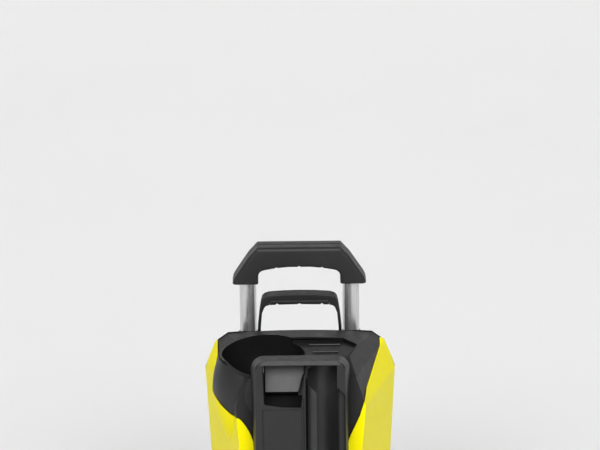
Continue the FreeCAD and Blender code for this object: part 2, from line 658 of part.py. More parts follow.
def make_tubes():
    """The two chromed tubes with their foot plugs, the guides they run in and the collars round them."""
    outer, inner = "tube_radius", "tube_radius - tube_wall"
    foot, sleeve = outer + " + 0.3", outer + " + 1.0"
    plugs, guides, collars = [], [], []
    for side, name in (("-1", "left"), ("1", "right")):
        at = (f"{side} * tube_spacing / 2", "tube_back", "0")
        turned(f"pull_tube_{name}", [(inner, "tube_bottom"), (outer, "tube_bottom"),
                                     (outer, "tube_top - 0.5"), (inner, "tube_top - 0.5")], at)
        plug = [("0", "tube_bottom - 3"), (foot, "tube_bottom - 3"), (foot, "tube_bottom - 0.05"),
                (inner + " - 0.1", "tube_bottom - 0.05"), (inner + " - 0.1", "tube_bottom + 12"),
                ("0", "tube_bottom + 12")]
        plugs.append(turned("", plug, at, kept=False))
        guide = [(outer + " + 0.5", "15.2"), (sleeve, "15.2"), (sleeve, "402"), (outer + " + 0.5", "402")]
        guides.append(turned("", guide, at, kept=False))
        collar = [("tube_radius + 0.05", "402.05"), (outer + " + 1.05", "402.05"), (outer + " + 1.05", "386"),
                  (outer + " + 2.1", "386"), (outer + " + 2.1", "424"), (outer + " + 1.3", "427"),
                  ("tube_radius + 0.05", "427")]
        collars.append(turned("", collar, at, kept=False))
    keep(group(*plugs), "tube_plugs")
    keep(group(*guides), "tube_guides")
    keep(group(*collars), "tube_collars")


# ------------------------------------------------------------------------------------------ carrying handle
def make_carry_handle():
    """A fixed bow behind the top cover, with a soft sleeve under the bar."""
    top, foot, half, wide = d("carry_height"), 398.0, d("carry_half_top"), d("carry_half_foot")
    outside = [(0, top), (25, top - 0.5), (half - 13, top - 2.2), (half - 5.5, top - 4.8),
               (half - 1.5, top - 9),
               (half + 0.6, top - 17), (wide - 2.6, top - 36), (wide, 441), (wide, foot)]
    inside = [(wide - 5, foot), (wide - 5, 441), (wide - 7.4, top - 34), (half - 4.8, top - 25),
              (half - 7.5, top - 21.5), (half - 12, top - 20), (38, top - 19.2), (0, top - 18.4)]
    left = [(-x, z) for x, z in (outside[1:] + inside[:-1])[::-1]]
    middle, deep = d("carry_back"), 22.0
    bow = prism_y(outside + inside + left, middle - deep / 2, middle + deep / 2)
    bow = rounded(bow, 1.9, lambda e: e.BoundBox.YLength < 1e-3 and e.BoundBox.ZMax > 445)
    half_grip = half - 14.0
    bow = bow.cut(Part.makeBox(2 * half_grip, 40, 10, V(-half_grip, middle - 20, top - 21)))
    feature(bow, "carry_handle")
    under = [(-half_grip + 0.1, top - 19.6), (-38, top - 19.2), (0, top - 18.4), (38, top - 19.2),
             (half_grip - 0.1, top - 19.6), (half_grip - 0.1, top - 11.05), (-half_grip + 0.1, top - 11.05)]
    sleeve = prism_y(under, middle - deep / 2 - 1.2, middle + deep / 2 + 1.2)
    sleeve = rounded(sleeve, 3.0, lambda e: e.BoundBox.YLength < 1e-3 and e.BoundBox.ZMax < top - 12)
    for spot in (-37, 0, 37):
        sleeve = sleeve.cut(prism_y([(spot - 2.4, top - 21), (spot - 0.7, top - 15.8),
                                     (spot + 0.7, top - 15.8),
                                     (spot + 2.4, top - 21)], middle - 30, middle + 30))
    feature(sleeve, "carry_grip")


# -------------------------------------------------------------------------------------------------- wheels
def make_wheels():
    """Each wheel runs on its own fixed pin, and a cap closes the hub over the pin's head."""
    bore = "axle_radius + hub_play"
    for side, name, along in (("-1", "left", "-X"), ("1", "right", "X")):
        at = (f"{side} * wheel_inside", "wheel_back", "wheel_radius")
        blank = turned("", [(bore, "0"), ("14", "0"), ("14", "12"), ("57", "12"), ("60", "2"), ("66", "2"),
                            ("66", "34"), ("60", "34"), ("57", "20"), ("20", "20"), ("18", "29.5"),
                            ("12.2", "29.5"), ("12.2", "24.6"), (bore, "24.6")], at, along, kept=False)
        holes = []
        for i in range(6):
            turn = math.radians(60 * i)
            spot = (f"{side} * (wheel_inside - 5)", f"wheel_back + {38 * math.sin(turn):.3f}",
                    f"wheel_radius + {38 * math.cos(turn):.3f}")
            holes.append(cylinder("10.5", "44", spot, along))
        keep(minus(blank, *holes), f"wheel_hub_{name}")
        tread = [("66.02", "1"), ("70", "0"), ("78.5", "2.5"), ("wheel_radius", "8")]
        for groove in (10.5, 17.0, 23.5):
            tread += [("wheel_radius", f"{groove}"), ("wheel_radius - 2.2", f"{groove + 0.5}"),
                      ("wheel_radius - 2.2", f"{groove + 1.5}"), ("wheel_radius", f"{groove + 2}")]
        tread += [("wheel_radius", "28"), ("78.5", "33.5"), ("70", "36"), ("66.02", "35")]
        turned(f"wheel_tyre_{name}", tread, at, along)
        turned(f"wheel_cap_{name}",
               [("0", "29.6"), ("19.5", "29.6"), ("19.5", "31"), ("15", "34.6"), ("8", "35.8"),
                                     ("0", "36")], at, along)
        turned(f"axle_pin_{name}", [("0", "-13.4"), ("axle_radius", "-13.4"), ("axle_radius", "-2.45"),
                                    ("10", "-2.45"), ("10", "-0.1"), ("axle_radius", "-0.1"),
                                    ("axle_radius",
                                     "24.7"), ("9", "24.7"), ("9", "27.5"), ("0", "27.5")], at, along)


make_bottle_well()
make_grip()
make_tubes()
make_carry_handle()
make_wheels()

# ------------------------------------------------------------------------------------------- motor and pump
def on_axis(height="0"):
    """A point on the motor's upright axis."""
    return ("motor_across", "motor_back", height)


def make_motor():
    """An upright motor in a can: stator, rotor on its shaft, two bearings and a cooling fan."""
    can, low, top = "motor_radius", "motor_bottom", "motor_top"
    turned("motor_can", [("9", low), (can, low), (can, top + " - 4"), (can + " - 3", top + " - 4"),
                         (can + " - 3", low + " + 5"), ("14", low + " + 5"), ("14", low + " + 12"),
                         ("11.05", low + " + 12"), ("11.05", low + " + 4"), ("9", low + " + 4")], on_axis())
    turned("motor_end_cap", [("11.05", top + " - 10"), ("14", top + " - 10"), ("14", top + " - 3.95"),
                             (can, top + " - 3.95"), (can, top), ("16", top), ("14", top + " + 5"),
                             ("0", top + " + 5"), ("0", top + " + 2"), ("9", top + " + 2"), ("9",
                                                                                             top + " - 2"),
                             ("11.05", top + " - 2")], on_axis())
    turned("stator", [("rotor_radius + 1", "200"), (can + " - 3.05", "200"), (can + " - 3.05", "272"),
                      ("45", "272"), ("43", "280"), ("34", "280"), ("32", "272"), ("rotor_radius + 1",
                                                                                   "272")],
           on_axis())
    turned("rotor_core", [("shaft_radius + 0.01", "202"), ("rotor_radius", "202"), ("rotor_radius", "270"),
                          ("shaft_radius + 0.01", "270")], on_axis())
    turned("motor_shaft", [("0", "151"), ("shaft_radius", "151"), ("shaft_radius", top + " + 1.5"),
                           ("0", top + " + 1.5")], on_axis())
    bearings = [turned("", [("shaft_radius + 0.04", base), ("11", base), ("11", base + " + 8"),
                            ("shaft_radius + 0.04", base + " + 8")], on_axis(), kept=False)
                for base in (low + " + 4", top + " - 10")]
    keep(group(*bearings), "shaft_bearings")
    hub = turned("", [("shaft_radius + 0.01", "285"), ("10", "285"), ("10", "288"), ("40", "288"),
                      ("40", "289.6"),
                      ("10", "289.6"), ("10", "301"), ("shaft_radius + 0.01", "301")], on_axis(), kept=False)
    blades = []
    for i in range(9):
        turn = 40.0 * i
        blade = block("27", "1.6", "10", ("motor_across", "motor_back", "289.5"))
        spin = FreeCAD.Rotation(V(0, 0, 1), turn)
        for letter in "xyz":
            blade.setExpression("Placement.Base." + letter, None)
        centre = V(number("motor_across"), number("motor_back"), 289.5)
        blade.Placement = FreeCAD.Placement(centre + spin.multVec(V(12, -0.8, 0)), spin)
        blades.append(blade)
    keep(fused(hub, *blades), "motor_fan")


def coil_spring(foot, radius, wire, height, turns, sides=14):
    """An open coil of round wire, in short straight runs with a ball at each joint."""
    points = []
    for i in range(turns * sides + 1):
        turn = 2 * math.pi * i / sides
        points.append(foot + V(radius * math.cos(turn), radius * math.sin(turn),
                               height * i / (turns * sides)))
    runs = [rod(wire, tuple(a), tuple(b)) for a, b in zip(points, points[1:])]
    joints = [Part.makeSphere(wire, p) for p in points[1:-1]]
    return runs[0].multiFuse(runs[1:] + joints)


def make_pump():
    """Three sprung pistons under a slanted plate, in a block between the motor and the pump's head."""
    tilt = math.radians(4.5)
    across, deep = d("motor_across"), d("motor_back")
    plate = Part.makeCylinder(28, 18, V(across, deep, 146)).cut(
        beyond((across, deep, 152.0), (math.sin(tilt), 0, -math.cos(tilt))))
    plate = plate.cut(Part.makeCylinder(d("shaft_radius") + 0.01, 30, V(across, deep, 150.9)))
    feature(plate, "swash_plate")
    turned("pump_housing",
           [("35", "132.05"), ("40", "132.05"), ("40", "160"), ("44", "169.95"), ("30", "169.95"),
                            ("35", "162")], on_axis())
    block_body = turned("", [("0", "100"), ("38", "100"), ("38", "132"), ("0", "132")], on_axis(), kept=False)
    head_body = turned("", [("0", "42"), ("30", "42"), ("36", "48"), ("36", "99.95"), ("0", "99.95")],
                       on_axis(),
                       kept=False)
    bores, pits, springs, screws = [], [], [], []
    for i in range(3):
        turn = math.radians(120 * i + 90)
        x, y = math.cos(turn), math.sin(turn)
        spot = (f"motor_across + piston_circle * {x:.4f}", f"motor_back + piston_circle * {y:.4f}")
        bores.append(cylinder("piston_radius + 0.05", "40", (*spot, "96")))
        pits.append(cylinder("piston_radius + 0.05", "20", (*spot, "88")))
        turned(f"piston_{i + 1}", [("0", "97"), ("piston_radius", "97"), ("piston_radius", "144.4"),
                                   ("8.4", "144.4"), ("8.4", "147"), ("3", "148"), ("0", "148")],
               (*spot, "0"))
        spring = coil_spring(V(number(spot[0]), number(spot[1]), 133.2), 7.4, 0.55, 5.0, 2)
        springs.append(spring)
        turn += math.radians(60)
        bolt = (f"motor_across + 28 * {math.cos(turn):.4f}", f"motor_back + 28 * {math.sin(turn):.4f}", "44")
        screws.append(cylinder("4", "8", bolt))
        pits.append(cylinder("4.1", "12", (bolt[0], bolt[1], "40.1")))
    keep(minus(block_body, *bores), "piston_block")
    feature(Part.makeCompound(springs), "piston_springs")
    ports = [cylinder("inlet_radius - 3", "24", ("20", "80", "inlet_height"), "Y"),
             cylinder("5.05", "30", ("outlet_across - 12", "10", "66"), "Y")]
    keep(minus(head_body, *pits, *ports), "pump_head")
    keep(group(*screws), "pump_screws")
    mounts = [cylinder("7", "27", (f"motor_across + {x}", f"motor_back + {y}", "15"))
              for x, y in ((-16, -16), (16, -16), (-16, 16), (16, 16))]
    keep(group(*mounts), "pump_mounts")


# ------------------------------------------------------------------------------------------ water and power
def pipe(points, radius):
    """A round pipe along straight runs, with a ball at each bend."""
    solid = rod(radius, points[0], points[1])
    for start, end in zip(points[1:], points[2:]):
        solid = solid.fuse(rod(radius, start, end)).fuse(Part.makeSphere(radius, V(*start)))
    return solid


def make_water():
    """Inlet at the back, pressure outlet in front, and the pipes between them and the pump."""
    inlet = [("7", "0"), ("inlet_radius - 3.05", "0"), ("inlet_radius - 3.05", "20"),
             ("inlet_radius + 3", "20"),
             ("inlet_radius + 3", "84"), ("inlet_radius", "84")]
    for ridge in (86, 90, 94):
        inlet += [("inlet_radius", f"{ridge}"), ("inlet_radius - 1", f"{ridge + 1}"),
                  ("inlet_radius - 1", f"{ridge + 2}"), ("inlet_radius", f"{ridge + 3}")]
    inlet += [("inlet_radius", "106"), ("10.5", "106"), ("10.5", "60"), ("7", "56")]
    turned("water_inlet", inlet, ("20", "84", "inlet_height"), "Y")
    turned("inlet_filter",
           [("6", "58"), ("7", "58"), ("10.2", "101"), ("10.2", "103"), ("3", "103"), ("3", "101.5"),
                            ("9", "101")], ("20", "84", "inlet_height"), "Y")
    body = turned("",
                  [("outlet_bore", "0"), ("12", "0"), ("12", "8"), ("17", "8"), ("17", "40"), ("15.5", "42"),
                       ("15.5", "48"), ("17", "50"), ("17", "58"), ("15", "60"), ("outlet_bore", "60")],
                  ("outlet_across", "-143", "outlet_height"), "-Y", kept=False)
    slot = block("26.2", "4.2", "30", ("outlet_across - 13.1", "-187.1", "outlet_height - 10"))
    sleeve = cylinder("8.3", "10", ("outlet_across", "-190", "outlet_height"), "Y")
    keep(minus(body, minus(slot, sleeve)), "outlet_connector")
    clip = Part.makeBox(26, 4, 28, V(-13, -2, -9)).cut(Part.makeBox(17, 6, 20, V(-8.5, -3, -10)))
    clip = clip.cut(Part.makeCylinder(8.5, 6, V(0, -3, 8), V(0, 1, 0)))
    clip = clip.fuse(Part.makeBox(30, 9, 5, V(-15, -4.5, 17.2)))
    clip.translate(V(d("outlet_across"), -185, d("outlet_height")))
    feature(clip, "outlet_clip")
    run = pipe([(34.0, 20.0, 66.0), (34.0, -60.0, 66.0), (46.0, -110.0, 105.0), (46.0, -142.9, 105.0)], 5.0)
    feature(run, "high_pressure_pipe")
    hose = pipe([(-60.0, 27.0, 312.0), (-60.0, 27.0, 250.0), (-60.0, 20.0, 90.0), (-22.0, 50.0, 80.0)], 4.0)
    head = Part.makeCylinder(36.05, 70, V(d("motor_across"), d("motor_back"), 35))
    feature(hose.cut(head), "detergent_hose")


def make_power():
    """The switch and its knob on the slanted front, the capacitor and the cable entry at the back."""
    way = unit(V(0, -125.0, 87.0))
    rise = (d("knob_height") - 62.0) * 87.0 / 125.0
    centre = V(d("knob_across"), rise - d("overall_front"), d("knob_height"))
    facing = FreeCAD.Placement(centre, FreeCAD.Rotation(V(0, 0, 1), way))

    def on_face(shape, label):
        shape.Placement = facing.multiply(shape.Placement)
        feature(shape, label)

    radius = d("knob_radius")
    knob = Part.makeCylinder(radius, 5, V(0, 0, 1.7)).fuse(Part.makeCylinder(4.0, 20, V(0, 0, -17)))
    knob = rounded(knob, 1.2, lambda e: e.BoundBox.ZMin > 6.6)
    bar = Part.makeBox(9, 2 * radius - 4, 9, V(-4.5, 2 - radius, 5.5)).common(
        Part.makeCylinder(radius - 1, 20, V(0, 0, 0)))
    knob = knob.fuse(rounded(bar, 2.0, lambda e: e.BoundBox.ZMin > 14))
    on_face(knob, "power_knob")
    switch = Part.makeBox(40, 44, 30, V(-20, -22, -34)).fuse(Part.makeCylinder(14.8, 4.6, V(0, 0, -4.6)))
    switch = switch.fuse(Part.makeCylinder(radius + 4, 1.4))
    switch = switch.cut(Part.makeCylinder(4.05, 40, V(0, 0, -17.2)))
    on_face(switch, "power_switch")
    can = block("36", "44", "90", ("motor_across + 56", "36", "190"))
    lid = block("40", "48", "4", ("motor_across + 54", "34", "280"))
    keep(fused(can, lid), "capacitor_box")
    turned("cable_gland",
           [("5", "-4"), ("13.8", "-4"), ("13.8", "0.1"), ("18", "0.1"), ("18", "4"), ("12", "6"),
                           ("11", "16"), ("5", "16"), ("5", "2"), ("4", "2"), ("4", "-2"), ("5", "-2")],
           ("0", "back_depth", "150"), "Y")


def make_cable_hooks():
    """Two hooks on the back for winding the cable: the lower is fixed and the upper one turns."""
    for label, height, turns in (("cable_hook_upper", 330.0, True), ("cable_hook_lower", 200.0, False)):
        low, lip_low = (-12, 26) if turns else (-32, -32)
        arm = rounded(Part.makeBox(30, 6, 44, V(-15, 12, low)), 4.0, lambda e: runs_along(e, (0, 1, 0)))
        lip = Part.makeBox(22, 9, 5, V(-11, 17.9, lip_low + 0.5))
        stem = Part.makeCylinder(9, 13, V(0, 0.3 if turns else 0, 0), V(0, 1, 0))
        hook = arm.fuse(lip).fuse(stem)
        if turns:
            hook = hook.fuse(Part.makeCylinder(6.0, 9.2, V(0, -6.8, 0), V(0, 1, 0)))
        hook.translate(V(0, d("back_depth"), height))
        feature(hook, label)


def make_feet_and_screws():
    """The two rubber feet under the toe and the screws that close the back."""
    feet = [turned("", [("0", "0"), ("13", "0"), ("15", "2"), ("15", "11.95"), ("0", "11.95")],
                   (f"{x}", "-165", "0"), kept=False) for x in (-78, 78)]
    keep(group(*feet), "front_feet")
    heads = [fastener("3.8", (str(x), "back_depth + 1.05", str(z)), "Y") for x, z in SCREW_SPOTS]
    keep(group(*heads), "housing_screws")


make_motor()
make_pump()
make_water()
make_power()
make_cable_hooks()
make_feet_and_screws()

# ------------------------------------------------------------------------------------- checks and the files
os.makedirs("parts", exist_ok=True)
doc.recompute()
for obj in doc.Objects:
    if "Invalid" in obj.State or "Error" in obj.State:
        raise RuntimeError(f"{obj.Label} did not recompute: {obj.State}")
for obj in PARTS:
    if obj.Shape.isNull() or not obj.Shape.isValid():
        raise RuntimeError(f"{obj.Label} has no valid shape")
    obj.Shape.exportStep(f"parts/{obj.Label}.step")
print(f"{len(PARTS)} sub-parts written")
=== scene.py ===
"""An upright electric pressure washer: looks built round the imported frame. Metres, +Z up, front is -Y."""

import json
import math

import bmesh
import bpy
from mathutils import Matrix, Vector

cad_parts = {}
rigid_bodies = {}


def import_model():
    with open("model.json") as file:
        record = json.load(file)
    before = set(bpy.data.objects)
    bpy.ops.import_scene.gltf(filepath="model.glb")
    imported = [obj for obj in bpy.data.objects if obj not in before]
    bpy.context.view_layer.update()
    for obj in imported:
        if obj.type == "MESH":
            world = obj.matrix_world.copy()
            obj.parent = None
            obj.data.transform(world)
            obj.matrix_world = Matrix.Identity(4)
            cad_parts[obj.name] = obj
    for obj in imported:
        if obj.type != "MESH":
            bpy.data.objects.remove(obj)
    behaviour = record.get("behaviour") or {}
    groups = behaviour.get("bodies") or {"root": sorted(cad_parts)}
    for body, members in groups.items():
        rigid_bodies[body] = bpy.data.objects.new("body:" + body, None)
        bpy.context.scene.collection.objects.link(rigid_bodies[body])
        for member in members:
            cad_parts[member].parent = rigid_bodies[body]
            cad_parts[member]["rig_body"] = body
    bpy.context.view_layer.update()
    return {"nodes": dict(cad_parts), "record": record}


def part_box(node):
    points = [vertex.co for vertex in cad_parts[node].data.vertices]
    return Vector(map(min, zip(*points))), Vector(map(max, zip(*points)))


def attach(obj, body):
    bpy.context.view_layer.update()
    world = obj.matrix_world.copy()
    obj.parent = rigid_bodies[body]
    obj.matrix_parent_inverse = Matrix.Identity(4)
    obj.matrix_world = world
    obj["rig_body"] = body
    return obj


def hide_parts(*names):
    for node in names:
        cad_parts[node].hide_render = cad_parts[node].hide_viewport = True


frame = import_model()
NODES = frame["nodes"]
MM = 0.001

# --------------------------------------------------------------------------------------------- materials


class Nodes:
    """A small helper to write node materials as plain lines."""

    def __init__(self, name):
        self.material = bpy.data.materials.new(name)
        self.material.use_nodes = True
        self.tree = self.material.node_tree
        self.tree.nodes.clear()
        self.shader = self.add("ShaderNodeBsdfPrincipled")
        self.output = self.add("ShaderNodeOutputMaterial")
        self.join(self.shader, "BSDF", self.output, "Surface")
        self.place = self.add("ShaderNodeTexCoord")

    def add(self, kind, **values):
        node = self.tree.nodes.new(kind)
        for key, value in values.items():
            setattr(node, key, value)
        return node

    def join(self, source, output, target, socket):
        self.tree.links.new(source.outputs[output], target.inputs[socket])

    def noise(self, scale, detail=3.0, roughness=0.5, stretch=None):
        node = self.add("ShaderNodeTexNoise")
        node.inputs["Scale"].default_value = scale
        node.inputs["Detail"].default_value = detail
        node.inputs["Roughness"].default_value = roughness
        if stretch:
            mapping = self.add("ShaderNodeMapping")
            mapping.inputs["Scale"].default_value = stretch
            self.join(self.place, "Object", mapping, "Vector")
            self.join(mapping, "Vector", node, "Vector")
        else:
            self.join(self.place, "Object", node, "Vector")
        return node

    def ramp(self, source, output, stops):
        node = self.add("ShaderNodeValToRGB")
        elements = node.color_ramp.elements
        while len(elements) < len(stops):
            elements.new(0.5)
        for element, (position, colour) in zip(elements, stops):
            element.position = position
            element.color = (*colour, 1.0)
        self.join(source, output, node, "Fac")
        return node

    def remap(self, source, output, low, high, start=0.0, end=1.0):
        node = self.add("ShaderNodeMapRange")
        node.inputs["From Min"].default_value = start
        node.inputs["From Max"].default_value = end
        node.inputs["To Min"].default_value = low
        node.inputs["To Max"].default_value = high
        self.join(source, output, node, "Value")
        return node

    def bump(self, source, output, distance, strength=1.0, over=None):
        node = self.add("ShaderNodeBump")
        node.inputs["Distance"].default_value = distance
        node.inputs["Strength"].default_value = strength
        self.join(source, output, node, "Height")
        if over is not None:
            self.join(over, "Normal", node, "Normal")
        return node


def edge_wear(nodes, width):
    """A 0..1 value that rises on convex edges, broken up by noise."""
    geometry = nodes.add("ShaderNodeNewGeometry")
    worn = nodes.remap(geometry, "Pointiness", 0.0, 1.0, 0.5 + width, 0.5 + 3 * width)
    patchy = nodes.noise(90.0, 5.0, 0.6)
    mixed = nodes.add("ShaderNodeMath", operation="MULTIPLY")
    nodes.join(worn, "Result", mixed, 0)
    nodes.join(patchy, "Fac", mixed, 1)
    return mixed


def painted_shade_mask(nodes, reach):
    """A value from 0, deep in a recess, to 1 where the surface is open to its surroundings: the mask for
    painted shade in recesses.
    """
    hidden = nodes.add("ShaderNodeAmbientOcclusion", samples=6)
    hidden.inputs["Distance"].default_value = reach
    return nodes.remap(hidden, "AO", 0.0, 1.0, 0.25, 0.90)


def moulded(name, dark, light, roughness, grain=0.00008, grain_scale=1500.0, wear=None, gloss=0.28,
            recess=None):
    """Moulded plastic: fine spark-eroded grain and slow changes of tone and of roughness.

    wear is the colour of rubbed edges, and recess how far the painted shade of a recess reaches: there the
    colour darkens and the shine fades.
    """
    nodes = Nodes(name)
    slow = nodes.noise(14.0, 4.0, 0.55)
    tone = nodes.ramp(slow, "Fac", [(0.3, dark), (0.7, light)])
    colour, output = tone, "Color"
    if wear:
        edges = edge_wear(nodes, 0.02)
        mix = nodes.add("ShaderNodeMix", data_type="RGBA")
        mix.inputs[7].default_value = (*wear, 1.0)
        nodes.join(edges, 0, mix, 0)
        nodes.join(colour, output, mix, 6)
        colour, output = mix, 2
    haze = nodes.noise(60.0, 4.0, 0.6)
    rough = nodes.remap(haze, "Fac", roughness - 0.06, roughness + 0.07, 0.25, 0.75)
    nodes.join(rough, "Result", nodes.shader, "Roughness")
    fine = nodes.noise(grain_scale, 2.0, 0.6)
    relief = nodes.bump(fine, "Fac", grain, 0.6)
    nodes.join(relief, "Normal", nodes.shader, "Normal")
    nodes.shader.inputs["Specular IOR Level"].default_value = gloss
    # painted shade: deep in a recess the colour falls to 0.12 of the dark tone and the shine fades
    if recess:
        shade = painted_shade_mask(nodes, recess)
        shine = nodes.remap(shade, "Result", 0.02, gloss)
        nodes.join(shine, "Result", nodes.shader, "Specular IOR Level")
        deep = nodes.add("ShaderNodeMix", data_type="RGBA")
        deep.inputs[6].default_value = (*[level * 0.12 for level in dark], 1.0)
        nodes.join(shade, "Result", deep, 0)
        nodes.join(colour, output, deep, 7)
        colour, output = deep, 2
    nodes.join(colour, output, nodes.shader, "Base Color")
    return nodes.material


def metal(name, dark, light, roughness, stretch, scratch=0.00003, body=1.0):
    """Drawn or turned metal: fine lines along one axis over a slow change of tone."""
    nodes = Nodes(name)
    lines = nodes.noise(300.0, 6.0, 0.65, stretch)
    tone = nodes.ramp(lines, "Fac", [(0.3, dark), (0.7, light)])
    nodes.join(tone, "Color", nodes.shader, "Base Color")
    nodes.shader.inputs["Metallic"].default_value = body
    rough = nodes.remap(lines, "Fac", roughness - 0.08, roughness + 0.1, 0.3, 0.7)
    nodes.join(rough, "Result", nodes.shader, "Roughness")
    relief = nodes.bump(lines, "Fac", scratch, 0.5)
    nodes.join(relief, "Normal", nodes.shader, "Normal")
    return nodes.material


def rubber(name, dark, light, roughness):
    """Rubber: almost no shine, a chalky bloom in patches and a coarse grain."""
    nodes = Nodes(name)
    bloom = nodes.noise(35.0, 6.0, 0.65)
    tone = nodes.ramp(bloom, "Fac", [(0.35, dark), (0.8, light)])
    nodes.join(tone, "Color", nodes.shader, "Base Color")
    rough = nodes.remap(bloom, "Fac", roughness - 0.05, roughness + 0.1)
    nodes.join(rough, "Result", nodes.shader, "Roughness")
    coarse = nodes.noise(900.0, 3.0, 0.6)
    relief = nodes.bump(coarse, "Fac", 0.00015, 0.7)
    nodes.join(relief, "Normal", nodes.shader, "Normal")
    nodes.shader.inputs["Specular IOR Level"].default_value = 0.3
    return nodes.material


def grey(level):
    """A neutral grey with a trace of blue, as black plastics have."""
    return (level, level, level * 1.02)


MATERIALS = {
    "yellow_shell": moulded("yellow_shell", (0.86, 0.76, 0.002), (0.89, 0.79, 0.003), 0.34, 0.00003, 900.0,
                            gloss=0.05),
    # the housing and the grips carry painted shade in their recesses (the recess argument)
    "black_housing": moulded("black_housing", grey(0.014), grey(0.018), 0.48, gloss=0.42, recess=0.11),
    # a blacker black, used as painted shade inside the bottle's well and in the slot under the gun pocket's
    # pad
    "painted_shade_black": moulded("painted_shade_black", grey(0.006), grey(0.010), 0.60, gloss=0.08),
    "holder_black": moulded("holder_black", grey(0.020), grey(0.026), 0.36, gloss=0.55),
    # pocket_grey, paler than the black: painted light on the gun pocket's pad, and a painted highlight on the
    # tray's ribs
    "pocket_grey": moulded("pocket_grey", grey(0.060), grey(0.092), 0.50, 0.0004, 700.0, gloss=0.4),
    "grip_black": moulded("grip_black", grey(0.015), grey(0.020), 0.46, 0.00012, 1100.0, gloss=0.35,
                          recess=0.05),
    "tube_metal": metal("tube_metal", (0.60, 0.60, 0.61), (0.70, 0.70, 0.71), 0.32, (1.0, 1.0, 0.012),
                        body=0.85),
    "inner_plastic": moulded("inner_plastic", grey(0.05), grey(0.07), 0.55),
    "feet_rubber": rubber("feet_rubber", grey(0.012), grey(0.024), 0.8),
    "tyre_tread": rubber("tyre_tread", grey(0.010), grey(0.020), 0.75),
    "hub_plastic": moulded("hub_plastic", grey(0.022), grey(0.030), 0.48, wear=grey(0.07)),
    "steel": metal("steel", (0.45, 0.45, 0.46), (0.62, 0.62, 0.63), 0.32, (1.0, 1.0, 1.0)),
    "motor_iron": metal("motor_iron", (0.10, 0.10, 0.11), (0.18, 0.18, 0.19), 0.55, (0.2, 0.2, 6.0)),
    "cast_aluminium": metal("cast_aluminium", (0.42, 0.43, 0.44), (0.56, 0.57, 0.58), 0.5, (0.6, 0.6, 0.6),
                            0.0002),
    "fitting_brass": metal("fitting_brass", (0.55, 0.40, 0.14), (0.72, 0.55, 0.22), 0.35, (0.4, 1.0, 0.4)),
    "fitting_black": moulded("fitting_black", grey(0.018), grey(0.026), 0.42, wear=grey(0.06)),
    "control_yellow": moulded("control_yellow", (0.80, 0.68, 0.012), (0.85, 0.73, 0.02), 0.34, 0.00003,
                              900.0),
}

for entry in frame["record"]["subparts"]:
    mesh = NODES[entry["node"]].data
    mesh.materials.clear()
    mesh.materials.append(MATERIALS[entry["material_slot"]])

# ----------------------------------------------------------------------------------------- rounded skins
SLOTS = {entry["node"]: entry["material_slot"] for entry in frame["record"]["subparts"]}

WELD_DISTANCE = 0.03 * MM
SAME_PLANE = math.radians(0.6)      # faces that turn less than this are one flat face
SHARP_TURN = math.radians(26.0)     # an edge is rounded if it turns more than this
CREASE_TURN = math.radians(6.0)     # and, between two broad facets, if it turns more than this
BROAD_FACE = 0.0015                 # square metres
BEVEL_STEPS = 3
EDGE_WIDTHS = {
    "left_side_shell": 2.4 * MM,
    "right_side_shell": 2.4 * MM,
    "rear_housing": 1.5 * MM,
    "front_column": 0.9 * MM,
    "base_tray": 1.8 * MM,
    "carry_handle": 0.8 * MM,
}
GRIPS = ("pull_grip_front", "pull_grip_back", "carry_grip")
GRIP_PLANE = math.radians(0.1)
GRIP_VOXEL = 0.9 * MM
GRIP_ROUNDS = 14


def welded(node, same_plane):
    """The node's mesh as a new form, its flat faces whole again."""
    form = bmesh.new()
    form.from_mesh(NODES[node].data)
    bmesh.ops.remove_doubles(form, verts=form.verts, dist=WELD_DISTANCE)
    bmesh.ops.dissolve_limit(form, angle_limit=same_plane, verts=form.verts, edges=form.edges)
    return form


def put_in_place(name, form, node, finish=None):
    """Makes the form an object that rides with the node's body, in the node's finish or the one named."""
    mesh = bpy.data.meshes.new(name)
    form.to_mesh(mesh)
    form.free()
    mesh.materials.append(MATERIALS[finish or SLOTS[node]])
    piece = bpy.data.objects.new(name, mesh)
    bpy.context.scene.collection.objects.link(piece)
    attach(piece, NODES[node]["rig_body"])
    return piece


def mark_edges(form):
    """Marks the edges to round: every sharp one, and the shallow creases between two broad facets."""
    weight = form.edges.layers.float.new("bevel_weight_edge")
    for edge in form.edges:
        if len(edge.link_faces) != 2:
            continue
        turn = edge.calc_face_angle(0.0)
        broad = min(face.calc_area() for face in edge.link_faces) > BROAD_FACE
        if turn > SHARP_TURN or (broad and turn > CREASE_TURN):
            edge[weight] = 1.0


def softened(node, width, finish=None):
    """Stands in for a node with its edges rounded, as a moulding's are, and its flat faces shaded flat."""
    form = welded(node, SAME_PLANE)
    mark_edges(form)
    for face in form.faces:
        face.smooth = True
    piece = put_in_place(node + "_skin", form, node, finish)
    bevel = piece.modifiers.new("edges", "BEVEL")
    bevel.width = width
    bevel.segments = BEVEL_STEPS
    bevel.limit_method = "WEIGHT"
    even = piece.modifiers.new("even_shading", "WEIGHTED_NORMAL")
    even.keep_sharp = True
    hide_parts(node)
    return piece


def melted(node):
    """Stands in for a soft grip: one closed skin whose edges all melt into each other."""
    piece = put_in_place(node + "_skin", welded(node, GRIP_PLANE), node)
    skin = piece.modifiers.new("skin", "REMESH")
    skin.mode = "VOXEL"
    skin.voxel_size = GRIP_VOXEL
    skin.use_smooth_shade = True
    relax = piece.modifiers.new("relax", "SMOOTH")
    relax.factor = 0.5
    relax.iterations = GRIP_ROUNDS
    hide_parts(node)


def painted(piece, finish, belongs):
    """Gives another finish to the faces whose centre and normal pass the test."""
    piece.data.materials.append(MATERIALS[finish])
    slot = len(piece.data.materials) - 1
    for face in piece.data.polygons:
        if belongs(face.center, face.normal):
            face.material_index = slot


def within(value, limits):
    return limits[0] < value < limits[1]


